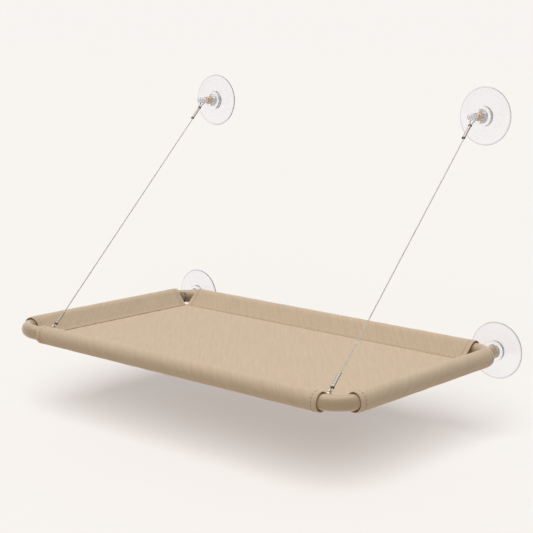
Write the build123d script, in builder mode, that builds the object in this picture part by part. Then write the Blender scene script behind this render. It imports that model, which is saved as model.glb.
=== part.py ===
from build123d import *
import os
from math import hypot, pi, radians, sin, sqrt

# Cat window hammock: a tube frame with a stretched canvas bed, carried by four clear suction
# cups on a window pane. Two lower cups are bolted to the back elbows. Two upper cups hold the
# front tube by steel cables.
# Frame: +Z up, the pane is the plane Y = 0, the room is on the -Y side, X = 0 is halfway
# between the cups, and Z = 0 is the height of the tubes' centrelines. Lengths are millimetres.

# Bed frame
frame_width = 560.0  # side tube centreline to side tube centreline
frame_depth = 337.0  # front tube centreline to back tube centreline
tube_radius = 11.0
tube_wall = 1.2
bend_radius = 38.0  # centreline of an elbow
elbow_leg = 34.0  # straight part of an elbow between its bend and the tube
elbow_wall = 2.05
spigot_length = 28.0
spigot_clearance = 0.15
stop_collar = 2.0  # the elbow's collar that the tube's end stops on

# Running and assembly clearances
fit_clearance = 0.05  # radial, between pieces of one body
running_clearance = 0.08  # radial, a bolt in a hole that it turns in
seat_gap = 0.3  # between faces that turn on each other
overrun = 1.0  # how far a cutting tool runs past the face that it cuts

# Canvas
cloth = 0.95  # thickness of one ply
sleeve_ease = 0.25  # radial, cloth over the tube
seam_inset = 29.0  # tube centreline to the seam between sleeve and panel
seam_drop = 9.0  # the seam lies this far below the tube's centreline
seam_radius = 1.0  # rolled edge at the seam
seam_tuck = 1.6  # from the seam's middle to where the two plies part
mouth_gap = 0.4  # a sleeve's mouth to the seam of the sleeve round the corner
front_slide = 23.6  # the front sleeve has slid this far along the tube, away from the left corner
hem_length = 11.0
hem_ease = 1.1  # radial, the doubled cloth of a hem over the elbow

# Suction cups
cup_radius = 38.0
cup_rim = 1.2  # thickness at the rim
cup_root = 3.0  # thickness where the boss rises
cup_step_inset = 13.0  # the rim to a shallow step in the cup's front
cup_step = 0.3
seal_band = 7.0  # width of the band that seals on the glass
cup_hollow = 0.5
boss_radius = 13.5
boss_fillet = 1.6
boss_edge = 0.8
boss_past_tube = 1.0  # the lower cups' boss reaches this far past the near side of the tube
cloth_to_cup = 2.8  # canvas on the back tube to the root of a lower cup
lower_neck = 3.7  # the lower cups' neck stands this far past their boss
upper_boss = 10.0
upper_neck = 6.0
neck_radius = 9.5
upper_cup_inset = 44.5  # side tube's centreline to an upper cup's axis, along the pane
upper_cup_z = 306.0

# Bolts, studs and what turns on them
bolt_radius = 3.0
head_radius = 7.0
head_thickness = 2.2
head_depth = 3.0  # pane to the moulded-in head
recess_floor = 18.0  # back tube's centreline to the floor that the lower knob bears on
bolt_reach = 5.0  # the lower bolt stands this far out of that floor
pillar_wall = 1.3  # round the recess, in the pillar that takes the bolt through a back elbow
knob_radius = 6.4
knob_clearance = 0.7  # radial, knob in its recess
knob_room = 0.7  # bolt's tip to the blind end of the knob's bore
knob_cap = 1.2
knob_flute = 1.1
knob_flutes = 8
knob_fillet = 0.7
lock_nut_flats = 10.0
lock_nut_length = 4.8
lock_nut_chamfer = 0.5
cap_radius = 4.6
cap_room = 5.1  # middle of the cable's loop to the cap
cap_grip = 3.8  # length of stud inside the cap
cap_roof = 2.3
cap_fillet = 1.0

# Cable anchors on the front elbows
left_anchor_from_end = 8.0  # tip of the elbow's leg to the left anchor, under the sleeve
right_anchor_gap = 0.4  # the sleeve's mouth to the right anchor's boss
anchor_boss_radius = 3.2
anchor_boss_height = 1.25  # above the elbow's surface
anchor_boss_depth = 8.0  # below the elbow's surface, inside the bore
insert_radius = 2.3
insert_length = 5.6
eye_shank_radius = 1.5
eye_shank_length = 5.4
eye_flange_radius = 3.0
eye_flange = 0.9
eye_ring_radius = 2.4
eye_wire_radius = 0.9
slit_clearance = 0.8  # cloth round an anchor's boss

# Cables
cable_radius = 0.8
strand_gap = 0.4  # between the two strands in a ferrule
cable_seat = 0.3  # wire to the eye or stud that it pulls on
loop_room = 6.2  # lock nut to the middle of the loop on a stud
ferrule_length = 20.0
ferrule_wall = 0.45
lower_ferrule_start = 6.8  # anchor pivot to the lower ferrule
upper_ferrule_start = 16.4  # stud axis to the upper ferrule
ring_length = 1.6
ring_proud = 0.4
crimp_ribs = 6
crimp_depth = 0.22
strand_tail = 3.0  # the cut end stops this far inside the ferrule
lower_bend = 2.0
lower_shoulder_bend = 2.1
lower_throat_bend = 3.0
upper_bend = 2.9
upper_shoulder_bend = 5.0
upper_throat_bend = 6.0
# The loops' corners as (across, along), from the anchor pivot and from the stud axis
lower_loop = [(1.4, 0), (2.7, 2.4)]
lower_throat = 4.4
upper_loop = [(5.3, 0.4), (2.9, 6.05)]
upper_throat = 13.8

# Places that follow from the sizes
half_width = frame_width / 2
sleeve_bore = tube_radius + sleeve_ease
sleeve_radius = sleeve_bore + cloth
elbow_radius = tube_radius - tube_wall - spigot_clearance
elbow_bore = elbow_radius - elbow_wall
hem_bore = elbow_radius + hem_ease
pane_to_tube = sleeve_radius + cloth_to_cup + cup_root
back_y = -pane_to_tube
front_y = back_y - frame_depth
bend_start = half_width - bend_radius
seam_x = bend_start - elbow_leg
corner_reach = bend_radius + elbow_leg
mouth_setback = seam_inset + seam_radius + mouth_gap  # corner of the centrelines to a mouth
slid_setback = mouth_setback + front_slide
mouth_x = half_width - mouth_setback
left_anchor_x = -seam_x - left_anchor_from_end
right_anchor_x = mouth_x + right_anchor_gap + anchor_boss_radius
lower_cup_x = bend_start + bend_radius * sin(radians(45))
bolt_hole = bolt_radius + running_clearance
thread_bore = bolt_radius + fit_clearance
cup_step_radius = cup_radius - cup_step_inset
cup_hollow_radius = cup_radius - seal_band
lower_boss = pane_to_tube - tube_radius + boss_past_tube
lower_crown = lower_boss + lower_neck
upper_crown = upper_boss + upper_neck
nut_seat = pane_to_tube + recess_floor
lower_bolt_end = nut_seat + bolt_reach
knob_length = bolt_reach - seat_gap + knob_room + knob_cap
recess_radius = knob_radius + knob_clearance
pillar_radius = recess_radius + pillar_wall
upper_cup_x = half_width - upper_cup_inset
hang_depth = upper_crown + lock_nut_length + loop_room  # pane to the middle of the loop
cap_start = hang_depth + cap_room
upper_stud_end = cap_start + cap_grip
cap_end = upper_stud_end + seat_gap + cap_roof
strand_offset = cable_radius + strand_gap / 2


def tube_axis_y(x):
    """Centreline of the front tube and its elbows at x."""
    past = max(abs(x) - bend_start, 0)
    return front_y + bend_radius - sqrt(bend_radius**2 - past**2)


def anchor_direction(x):
    """Unit vector in the YZ plane from the front tube's axis at x to the stud above."""
    rise = upper_cup_z
    run = -hang_depth - tube_axis_y(x)
    length = hypot(rise, run)
    return Vector(0, run / length, rise / length)


def anchor_point(x, distance):
    """Point at a distance from the front tube's axis along the anchor's direction."""
    return Vector(x, tube_axis_y(x), 0) + anchor_direction(x) * distance


boss_top = elbow_radius + anchor_boss_height
eye_ring_centre = boss_top + eye_flange + eye_ring_radius
# The cable pulls the inside of the ring, so its pivot is off the ring's centre.
pivot_distance = eye_ring_centre + eye_ring_radius - eye_wire_radius - cable_seat - cable_radius


def save(part, name):
    part.label = name
    export_step(part, f"parts/{name}.step")


def straight_tube(name, start, direction, length):
    with BuildPart() as tube:
        with BuildSketch(Plane(origin=start, z_dir=direction)):
            Circle(tube_radius)
            Circle(tube_radius - tube_wall, mode=Mode.SUBTRACT)
        extrude(amount=length)
    save(tube.part, name)


def elbow(name, side, end, anchor_x=None):
    """side is -1 left or 1 right, end is -1 front or 1 back."""
    tube_y = back_y if end > 0 else front_y
    seam_y = tube_y - end * corner_reach
    corner = (side * half_width, tube_y)
    across = (side * seam_x, tube_y)
    along = (side * half_width, seam_y)
    with BuildPart() as piece:
        for radius, past, mode in ((elbow_radius, 0, Mode.ADD), (elbow_bore, overrun, Mode.SUBTRACT)):
            across_tip = (side * (seam_x - spigot_length - past), tube_y)
            along_tip = (side * half_width, seam_y - end * (spigot_length + past))
            with BuildLine() as run:
                FilletPolyline(across_tip, corner, along_tip, radius=bend_radius)
            with BuildSketch(Plane(origin=across_tip, z_dir=(side, 0, 0))):
                Circle(radius)
            sweep(path=run.line, mode=mode)
        for start, direction in ((across, (side, 0, 0)), (along, (0, end, 0))):
            with BuildSketch(Plane(origin=start, z_dir=direction)):
                Circle(tube_radius)
                Circle(elbow_radius, mode=Mode.SUBTRACT)
            extrude(amount=stop_collar)
        if anchor_x is None:
            # A pillar through the bend takes the lower cup's bolt and its knob.
            hub_x = side * lower_cup_x
            face = Plane(origin=(hub_x, -lower_crown - seat_gap, 0), z_dir=(0, -1, 0))
            floor = Plane(origin=(hub_x, -nut_seat, 0), z_dir=(0, -1, 0))
            with BuildSketch(face):
                Circle(pillar_radius)
            extrude(amount=nut_seat - lower_crown - seat_gap)
            with BuildSketch(floor):
                Circle(recess_radius)
            extrude(amount=tube_radius * 2, mode=Mode.SUBTRACT)
            with BuildSketch(face):
                Circle(bolt_hole)
            extrude(amount=nut_seat, mode=Mode.SUBTRACT)
        else:
            # A boss takes the threaded insert of the cable's eye.
            top = Plane(origin=anchor_point(anchor_x, boss_top), z_dir=anchor_direction(anchor_x))
            with BuildSketch(top):
                Circle(anchor_boss_radius)
            extrude(amount=-anchor_boss_height - anchor_boss_depth)
            with BuildSketch(top):
                Circle(insert_radius + fit_clearance)
            extrude(amount=-insert_length - fit_clearance, mode=Mode.SUBTRACT)
    save(piece.part, name)


def anchor_insert(name, x):
    with BuildPart() as insert:
        top = Plane(origin=anchor_point(x, boss_top), z_dir=anchor_direction(x))
        with BuildSketch(top):
            Circle(insert_radius)
            Circle(eye_shank_radius + fit_clearance, mode=Mode.SUBTRACT)
        extrude(amount=-insert_length)
    save(insert.part, name)


def anchor_eye(name, x):
    with BuildPart() as eye:
        seat = Plane(origin=anchor_point(x, boss_top), z_dir=anchor_direction(x))
        with BuildSketch(seat):
            Circle(eye_shank_radius)
        extrude(amount=-eye_shank_length)
        with BuildSketch(seat):
            Circle(eye_flange_radius)
        extrude(amount=eye_flange)
        ring_plane = Plane(origin=anchor_point(x, eye_ring_centre), z_dir=(1, 0, 0))
        with Locations(ring_plane.location):
            Torus(eye_ring_radius, eye_wire_radius)
    save(eye.part, name)


def teardrop(plane, radius, tip_radius, tip_inset):
    """Sleeve outline: a circle round the tube drawn to a tip at the seam, sketch x inwards."""
    with BuildSketch(plane) as outline:
        Circle(radius)
        with Locations((tip_inset, -seam_drop)):
            Circle(tip_radius)
        make_hull()
    return outline.sketch


def sleeve(name, start, direction, inwards, length, slit_x=None):
    """Canvas tube from start along direction, its seam on the side that inwards points to."""
    first = Plane(origin=start, x_dir=inwards, z_dir=direction)
    parting = seam_inset - seam_tuck
    # Sketch y has to point up, so the section is drawn from the end where it does.
    if first.y_dir.Z < 0:
        far_end = Vector(start) + Vector(direction) * length
        first = Plane(origin=far_end, x_dir=inwards, z_dir=-Vector(direction))
    with BuildPart() as canvas:
        extrude(teardrop(first, sleeve_radius, seam_radius, seam_inset), amount=length)
        for offset, reach, bore in (
            (0, hem_length, hem_bore),
            (hem_length, length - 2 * hem_length, sleeve_bore),
            (length - hem_length, hem_length, hem_bore),
        ):
            hollow = teardrop(first.offset(offset), bore, fit_clearance, parting - cloth)
            extrude(hollow, amount=reach, mode=Mode.SUBTRACT)
        if slit_x is not None:
            with BuildSketch(Plane(origin=anchor_point(slit_x, 0), z_dir=anchor_direction(slit_x))):
                Circle(anchor_boss_radius + slit_clearance)
            extrude(amount=sleeve_radius + overrun, mode=Mode.SUBTRACT)
    save(canvas.part, name)


def panel(name):
    edge = seam_inset + seam_radius + fit_clearance
    with BuildPart() as sheet:
        middle = (back_y + front_y) / 2
        with BuildSketch(Plane(origin=(0, middle, -seam_drop - cloth / 2))):
            Rectangle(frame_width - 2 * edge, frame_depth - 2 * edge)
        extrude(amount=cloth)
    save(sheet.part, name)


def cup_profile(x, z, boss_height, crown):
    """Half section of a cup. Sketch x is the radius and sketch y the height over the pane."""
    half_rim = cup_rim / 2
    step_height = cup_root - cup_step
    cavity = head_radius + fit_clearance
    floor = head_depth - fit_clearance
    ceiling = head_depth + head_thickness + fit_clearance
    crown_points = [(boss_radius, boss_height - boss_edge), (boss_radius - boss_edge, boss_height)]
    crown_points += [(neck_radius, boss_height), (neck_radius - 2 * boss_edge, crown)]
    crown_points += [(thread_bore, crown), (thread_bore, ceiling)]
    crown_points += [(cavity, ceiling), (cavity, floor), (0, floor)]
    with BuildSketch(Plane(origin=(x, 0, z), x_dir=(1, 0, 0), z_dir=(0, 0, -1))) as half:
        with BuildLine():
            Polyline(
                (0, floor),
                (0, cup_hollow),
                (cup_hollow_radius - cup_rim, cup_hollow),
                (cup_hollow_radius, 0),
                (cup_radius - half_rim, 0),
            )
            ThreePointArc(
                (cup_radius - half_rim, 0), (cup_radius, half_rim), (cup_radius - half_rim, cup_rim)
            )
            Polyline(
                (cup_radius - half_rim, cup_rim),
                (cup_step_radius, step_height - cup_step),
                (cup_step_radius - cup_step, step_height),
                (boss_radius + boss_fillet, cup_root),
            )
            JernArc((boss_radius + boss_fillet, cup_root), (-1, 0), boss_fillet, -90)
            Line((boss_radius, cup_root + boss_fillet), (boss_radius, boss_height - boss_edge))
            Polyline(*crown_points)
        make_face()
    return half.sketch


def suction_cup(name, x, z, boss_height, crown):
    with BuildPart() as cup:
        add(cup_profile(x, z, boss_height, crown))
        revolve(axis=Axis((x, 0, z), (0, 1, 0)))
    save(cup.part, name)


def headed_bolt(name, x, z, tip):
    with BuildPart() as bolt:
        head = Plane(origin=(x, -head_depth, z), z_dir=(0, -1, 0))
        with BuildSketch(head):
            Circle(head_radius)
        extrude(amount=head_thickness)
        with BuildSketch(head):
            Circle(bolt_radius)
        extrude(amount=tip - head_depth)
        chamfer(bolt.edges().filter_by(GeomType.CIRCLE).sort_by(Axis.Y)[0], length=cup_step)
    save(bolt.part, name)


def lower_knob(name, x):
    start = nut_seat + seat_gap
    with BuildPart() as knob:
        with BuildSketch(Plane(origin=(x, -start, 0), z_dir=(0, -1, 0))):
            Circle(knob_radius)
            with PolarLocations(knob_radius + knob_flute / 2, knob_flutes):
                Circle(knob_flute, mode=Mode.SUBTRACT)
        extrude(amount=knob_length)
        fillet(knob.faces().sort_by(Axis.Y)[0].edges(), radius=knob_fillet)
        with BuildSketch(Plane(origin=(x, -start, 0), z_dir=(0, -1, 0))):
            Circle(thread_bore)
        extrude(amount=knob_length - knob_cap, mode=Mode.SUBTRACT)
    save(knob.part, name)


def lock_nut(name, x, z):
    with BuildPart() as nut:
        with BuildSketch(Plane(origin=(x, -upper_crown, z), z_dir=(0, -1, 0))):
            RegularPolygon(lock_nut_flats / 2, 6, major_radius=False)
        extrude(amount=lock_nut_length)
        chamfer(nut.faces().sort_by(Axis.Y)[0].edges(), length=lock_nut_chamfer)
        with BuildSketch(Plane(origin=(x, -upper_crown, z), z_dir=(0, -1, 0))):
            Circle(thread_bore)
        extrude(amount=lock_nut_length, mode=Mode.SUBTRACT)
    save(nut.part, name)


def upper_cap(name, x, z):
    with BuildPart() as cap:
        face = Plane(origin=(x, -cap_start, z), z_dir=(0, -1, 0))
        with BuildSketch(face):
            Circle(cap_radius)
        extrude(amount=cap_end - cap_start)
        fillet(cap.faces().sort_by(Axis.Y)[0].edges(), radius=cap_fillet)
        with BuildSketch(face):
            Circle(thread_bore)
        extrude(amount=upper_stud_end + seat_gap - cap_start, mode=Mode.SUBTRACT)
    save(cap.part, name)


def cable_frame(anchor_x, side):
    """Pivot point, plane of the two loops (x across, y along the cable) and the cable's span."""
    pivot = anchor_point(anchor_x, pivot_distance)
    stud = Vector(side * upper_cup_x, -hang_depth, upper_cup_z)
    along = (stud - pivot).normalized()
    across = (Vector(1, 0, 0) - along * along.X).normalized()
    plane = Plane(origin=pivot, x_dir=across, z_dir=across.cross(along))
    return plane, along, (stud - pivot).length


def cable_route(span):
    """Corners of the wire's route and the bend radius at each, in the plane of the loops."""
    low_end = lower_ferrule_start + ferrule_length - strand_tail
    high_end = span - upper_ferrule_start - ferrule_length + strand_tail
    points = [(-strand_offset, low_end), (-strand_offset, lower_throat)]
    points += [(-across, along) for across, along in reversed(lower_loop)]
    points += lower_loop
    points += [(strand_offset, lower_throat), (strand_offset, span - upper_throat)]
    points += [(across, span + along) for across, along in upper_loop]
    points += [(-across, span + along) for across, along in reversed(upper_loop)]
    points += [(-strand_offset, span - upper_throat), (-strand_offset, high_end)]
    radii = [lower_throat_bend, lower_shoulder_bend, lower_bend, lower_bend, lower_shoulder_bend]
    radii += [lower_throat_bend, upper_throat_bend, upper_shoulder_bend, upper_bend]
    radii += [upper_bend, upper_shoulder_bend, upper_throat_bend]
    return points, radii


def cable(name, anchor_x, side):
    plane, along, span = cable_frame(anchor_x, side)
    points, radii = cable_route(span)
    with BuildPart() as wire:
        with BuildLine(plane) as route:
            FilletPolyline(*points, radius=radii)
        start = plane.from_local_coords(Vector(*points[0]))
        with BuildSketch(Plane(origin=start, z_dir=-along)):
            Circle(cable_radius)
        sweep(path=route.line)
    wire_length = route.wires()[0].length
    expected = wire_length * pi * cable_radius**2
    print(name, "span", round(span, 2), "wire", round(wire_length, 2), "radii", radii)
    print(name, "volume", round(wire.part.volume, 1), "section times length", round(expected, 1))
    save(wire.part, name)


def ferrule(name, anchor_x, side, start, length, proud=0.0, ribs=0):
    """Oval sleeve on the two strands, from start along the cable. Ribs are its crimp marks."""
    plane, along, span = cable_frame(anchor_x, side)
    half = cable_radius + fit_clearance + ferrule_wall + proud
    section = Plane(origin=plane.from_local_coords(Vector(0, start)), x_dir=plane.x_dir, z_dir=along)
    core = half - crimp_depth if ribs else half
    pitch = length / (2 * ribs - 1) if ribs else length
    with BuildPart() as sleeve_part:
        with BuildSketch(section):
            SlotCenterToCenter(2 * strand_offset, 2 * core)
        extrude(amount=length)
        for rib in range(ribs):
            with BuildSketch(section.offset(2 * rib * pitch)):
                SlotCenterToCenter(2 * strand_offset, 2 * half)
            extrude(amount=pitch)
        with BuildSketch(section):
            SlotCenterToCenter(2 * strand_offset, 2 * (cable_radius + fit_clearance))
        extrude(amount=length, mode=Mode.SUBTRACT)
    save(sleeve_part.part, name)


def cable_set(word, anchor_x, side):
    """The cable with its two ferrules and the dark rings at their ends."""
    span = cable_frame(anchor_x, side)[2]
    cable(f"{word}_cable", anchor_x, side)
    low = lower_ferrule_start
    high = span - upper_ferrule_start
    foot = high - ferrule_length
    ferrule(f"{word}_lower_ferrule", anchor_x, side, low, ferrule_length, ribs=crimp_ribs)
    ferrule(f"{word}_lower_ring", anchor_x, side, low - ring_length, ring_length, ring_proud)
    ferrule(f"{word}_upper_ferrule", anchor_x, side, foot, ferrule_length)
    ferrule(f"{word}_upper_ring", anchor_x, side, high, ring_length, ring_proud)
    ferrule(f"{word}_end_ring", anchor_x, side, foot - ring_length, ring_length, ring_proud / 2)


os.makedirs("parts", exist_ok=True)

straight_tube("front_tube", (-seam_x, front_y, 0), (1, 0, 0), 2 * seam_x)
straight_tube("back_tube", (-seam_x, back_y, 0), (1, 0, 0), 2 * seam_x)
side_length = frame_depth - 2 * corner_reach
straight_tube("left_tube", (-half_width, front_y + corner_reach, 0), (0, 1, 0), side_length)
straight_tube("right_tube", (half_width, front_y + corner_reach, 0), (0, 1, 0), side_length)
elbow("front_left_elbow", -1, -1, left_anchor_x)
elbow("front_right_elbow", 1, -1, right_anchor_x)
elbow("back_left_elbow", -1, 1)
elbow("back_right_elbow", 1, 1)

front_start = -half_width + slid_setback
side_start = front_y + mouth_setback
side_run = frame_depth - 2 * mouth_setback
sleeve(
    "front_sleeve", (front_start, front_y, 0), (1, 0, 0), (0, 1, 0), mouth_x - front_start,
    slit_x=left_anchor_x,
)
sleeve("back_sleeve", (-mouth_x, back_y, 0), (1, 0, 0), (0, -1, 0), 2 * mouth_x)
sleeve("left_sleeve", (-half_width, side_start, 0), (0, 1, 0), (1, 0, 0), side_run)
sleeve("right_sleeve", (half_width, side_start, 0), (0, 1, 0), (-1, 0, 0), side_run)
panel("sleeping_panel")

for word, side, anchor_x in (("left", -1, left_anchor_x), ("right", 1, right_anchor_x)):
    anchor_insert(f"{word}_anchor_insert", anchor_x)
    anchor_eye(f"{word}_anchor_eye", anchor_x)
    cable_set(word, anchor_x, side)
    low_x = side * lower_cup_x
    suction_cup(f"{word}_lower_cup", low_x, 0, lower_boss, lower_crown)
    headed_bolt(f"{word}_lower_bolt", low_x, 0, lower_bolt_end)
    lower_knob(f"{word}_lower_knob", low_x)
    high_x = side * upper_cup_x
    suction_cup(f"{word}_upper_cup", high_x, upper_cup_z, upper_boss, upper_crown)
    headed_bolt(f"{word}_upper_stud", high_x, upper_cup_z, upper_stud_end)
    lock_nut(f"{word}_lock_nut", high_x, upper_cup_z)
    upper_cap(f"{word}_upper_cap", high_x, upper_cup_z)
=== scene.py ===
import math
from functools import partial

import bmesh
import bpy
import numpy as np
from bpy.props import FloatProperty, FloatVectorProperty, IntProperty, PointerProperty
from mathutils import Matrix, Vector


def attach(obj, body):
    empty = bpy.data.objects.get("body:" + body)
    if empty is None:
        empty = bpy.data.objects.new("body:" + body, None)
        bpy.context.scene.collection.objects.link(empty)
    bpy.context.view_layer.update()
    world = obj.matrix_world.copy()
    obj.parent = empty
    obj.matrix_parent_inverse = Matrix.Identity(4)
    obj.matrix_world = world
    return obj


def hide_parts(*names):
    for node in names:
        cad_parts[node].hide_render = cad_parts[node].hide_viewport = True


bl_info = {
    "name": "Cat window hammock",
    "version": (1, 0, 0),
    "blender": (4, 5, 0),
    "location": "View3D > Sidebar > Hammock",
    "description": "Canvas, wire rope, clear cups and fittings on the packed hammock",
    "category": "Object",
}

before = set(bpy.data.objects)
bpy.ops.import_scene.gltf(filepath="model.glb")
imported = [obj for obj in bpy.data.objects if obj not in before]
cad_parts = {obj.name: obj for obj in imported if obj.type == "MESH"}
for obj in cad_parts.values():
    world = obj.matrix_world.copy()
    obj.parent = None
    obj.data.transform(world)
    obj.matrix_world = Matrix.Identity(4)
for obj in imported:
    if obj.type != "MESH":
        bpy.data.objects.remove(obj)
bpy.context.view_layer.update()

MM = 0.001
SIDES = ("left", "right")

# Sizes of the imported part, in millimetres, as its source names them.
HALF_WIDTH = 280.0
BACK_Y = -18.0
FRONT_Y = -355.0
MIDDLE_Y = (FRONT_Y + BACK_Y) / 2
HALF_DEPTH = (BACK_Y - FRONT_Y) / 2
BEND_RADIUS = 38.0
SLEEVE_BORE = 11.25
PANEL_Z = -9.0
PANEL_INSET = 25.0  # tube's centreline to the edge of the sleeping panel
FOLD_INSET = 29.3  # tube's centreline to the folded edge of a sleeve's ply
LEAN_REACH = 60.0  # how far back from a mouth the cloth is drawn askew
HEM_STITCH = 1.8  # a hem's stitches to its inner edge
SEAM_STITCH = 1.7  # a seam's stitches to the folded edge
ANCHOR_OPENING = 4.1  # radius of the round hole in the front sleeve
ROPE_DIAMETER = 1.6
FERRULE_LENGTH = 20.0
LOWER_FERRULE_START = 6.8  # pivot to the lower ferrule
UPPER_FERRULE_START = 16.4  # stud to the upper ferrule
LOWER_CUP_X = 268.870
UPPER_CUP_X = 235.5
UPPER_CUP_Z = 306.0
# Each tube's centreline, and the sign of the way from it to the middle of the bed.
TUBE_LINES = {
    "front": (FRONT_Y, 1),
    "back": (BACK_Y, -1),
    "left": (-HALF_WIDTH, 1),
    "right": (HALF_WIDTH, -1),
}
# Each sleeve's run along its tube, from mouth to mouth, at its seam.
SLEEVE_RUNS = {
    "front": (-226.0, 249.6),
    "back": (-249.6, 246.0),
    "left": (-328.0, -48.4),
    "right": (-326.0, -48.4),
}
# How much further each mouth reaches on the outer side of the tube, where the cloth
# leans round the bend.
MOUTH_LEANS = {"front": (0, 1), "back": (3, 1), "left": (7, 9), "right": (5, 6)}
# Seeds of each sleeve's folds.
SLEEVE_SEEDS = {"front": 11, "back": 23, "left": 37, "right": 53}

# Places and lengths in metres, as the frame takes them.
PIVOTS = {
    "left": (-0.216, -0.344324, 0.009960),
    "right": (0.2532, -0.342662, 0.009987),
}
STUDS = {"left": (-0.2355, -0.027, 0.306), "right": (0.2355, -0.027, 0.306)}

# A wave texture of scale 1 repeats after this length.
WAVE_PERIOD = 2 * math.pi / 20
METAL = {"Metallic": 1.0}


def linear(code):
    """A colour written as an sRGB hex value, as the linear colour that Blender takes."""
    parts = [int(code[i : i + 2], 16) / 255 for i in (1, 3, 5)]
    return tuple(c / 12.92 if c <= 0.04045 else ((c + 0.055) / 1.055) ** 2.4 for c in parts)


def rgba(colour):
    """A linear colour as a node's socket takes it."""
    return (*colour, 1.0)


# Settings


def length_setting(name, description, millimetres):
    """A length that the sidebar shows."""
    return FloatProperty(
        name=name, description=description, default=millimetres * MM, unit="LENGTH"
    )


def colour_setting(name, description, code):
    """A colour that the sidebar shows, given as an sRGB hex value."""
    return FloatVectorProperty(
        name=name, description=description, default=linear(code), subtype="COLOR"
    )


class HammockSizes(bpy.types.PropertyGroup):
    cloth: length_setting("Canvas thickness", "Thickness of one ply of the canvas", 0.95)
    hem: length_setting("Hem thickness", "Thickness of the folded hem and seam edge", 1.5)
    hem_length: length_setting("Hem length", "Length of the hem at each mouth of a sleeve", 8.2)
    panel_sag: length_setting(
        "Panel sag", "How far the middle of the sleeping panel hangs below its seams", 2.5
    )
    stitch_pitch: length_setting("Stitch pitch", "Distance from one stitch to the next", 4.8)
    stitch_length: length_setting("Stitch length", "Length of thread that shows in one stitch", 3.1)
    thread: length_setting("Thread thickness", "Diameter of the sewing thread", 0.62)
    rope_strands: IntProperty(
        name="Rope strands",
        description="Number of strands laid round the wire rope",
        default=6,
        min=3,
    )
    rope_lay: length_setting("Rope lay", "Length of rope in which a strand goes once round", 10.0)
    weave: length_setting("Weave spacing", "Distance between two wales of the canvas twill", 1.1)


class HammockColours(bpy.types.PropertyGroup):
    canvas: colour_setting("Canvas", "Sand coloured cotton canvas", "#D2BCA2")
    thread: colour_setting("Thread", "Sewing thread, a shade darker than the canvas", "#937A58")
    elbow: colour_setting("Elbow plastic", "Khaki nylon of the bent corners", "#BDA587")
    clear: colour_setting("Clear plastic", "Clear plastic of the cups and their caps", "#FBFBFE")
    steel: colour_setting("Rope steel", "Galvanised wire rope", "#C8C4BC")
    aluminium: colour_setting("Ferrule aluminium", "Crimped aluminium ferrule", "#A19C94")
    brass: colour_setting("Insert brass", "Brass insert under each cable's eye", "#C79A6B")
    background: colour_setting(
        "Background", "Colour of the floor and of the air round the object", "#F8F4F1"
    )


# Nodes and materials


def set_sockets(node, sockets):
    """Set a node's inputs. Each takes a plain value, another node's output to link, or a
    whole node, for its factor if it has one, and otherwise for its first output in use."""
    for key, value in sockets.items():
        if isinstance(value, bpy.types.Node):
            in_use = [output for output in value.outputs if output.enabled]
            value = next((output for output in in_use if output.name == "Fac"), in_use[0])
        if isinstance(value, bpy.types.NodeSocket):
            node.id_data.links.new(value, node.inputs[key])
        else:
            node.inputs[key].default_value = value


def add_node(tree, kind, sockets=None, **settings):
    """Add one shader node with its settings, values and links."""
    made = tree.nodes.new(f"ShaderNode{kind}")
    for name, value in settings.items():
        setattr(made, name, value)
    set_sockets(made, sockets or {})
    return made


def new_material(name):
    """A material, the function that adds a node to it, and its own shader."""
    made = bpy.data.materials.new(name)
    made.use_nodes = True
    return made, partial(add_node, made.node_tree), made.node_tree.nodes["Principled BSDF"]


def shade_pair(colour, down, up):
    """A darker and a lighter tone of one colour, for a mix."""
    return rgba([c * down for c in colour]), rgba([min(1.0, c * up) for c in colour])


def woven_canvas(sizes, colours):
    """Heavy cotton canvas, woven as a twill: matt, with fine diagonal wales that run
    from the front right to the back left, and faint streaks where yarns are thicker."""
    made, node, shader = new_material("woven_canvas")
    dark, light = shade_pair(colours.canvas, 0.885, 1.085)
    uv = node("UVMap", uv_map="UVMap")
    turned = node("Mapping", {"Vector": uv, "Rotation": (0, 0, math.radians(-40))})
    # Slubs: thicker yarns, about 4 mm apart and 60 mm long.
    slub_space = node("Mapping", {"Vector": turned, "Scale": (1 / (4.0 * MM), 1 / (60 * MM), 1)})
    slubs = node(
        "TexNoise", {"Vector": slub_space, "Scale": 1.0, "Detail": 3.0, "Roughness": 0.65}
    )
    # Yarns: about 1.2 mm apart and 9 mm long, drawn a little coarser than real ones to show.
    yarn_space = node("Mapping", {"Vector": turned, "Scale": (1 / (1.2 * MM), 1 / (9 * MM), 1)})
    yarns = node("TexNoise", {"Vector": yarn_space, "Scale": 1.0, "Detail": 2.0, "Roughness": 0.6})
    wave_scale = WAVE_PERIOD / sizes.weave
    wales = node(
        "TexWave",
        {"Vector": turned, "Scale": wave_scale, "Distortion": 0.6, "Detail": 1.0},
        bands_direction="X",
    )
    picks = node(
        "TexWave", {"Vector": uv, "Scale": wave_scale * 1.4, "Distortion": 0.3}, bands_direction="Y"
    )
    tone = node("Mix", {"Factor": 0.45, "A": slubs, "B": yarns})
    ramp = node("MapRange", {"Value": tone, "From Min": 0.3, "From Max": 0.7})
    colour = node("Mix", {"Factor": ramp, "A": dark, "B": light}, data_type="RGBA")
    height = node("Mix", {"Factor": 0.35, "A": wales, "B": picks})
    relief = node("Math", {0: height, 1: yarns}, operation="ADD")
    bump = node("Bump", {"Height": relief, "Strength": 0.45, "Distance": 0.25 * MM})
    rough = node("MapRange", {"Value": yarns, "To Min": 0.78, "To Max": 0.92})
    set_sockets(shader, {"Base Color": colour, "Normal": bump, "Roughness": rough})
    set_sockets(shader, {"Sheen Weight": 0.12, "Sheen Roughness": 0.5, "Specular IOR Level": 0.25})
    return made


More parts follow.
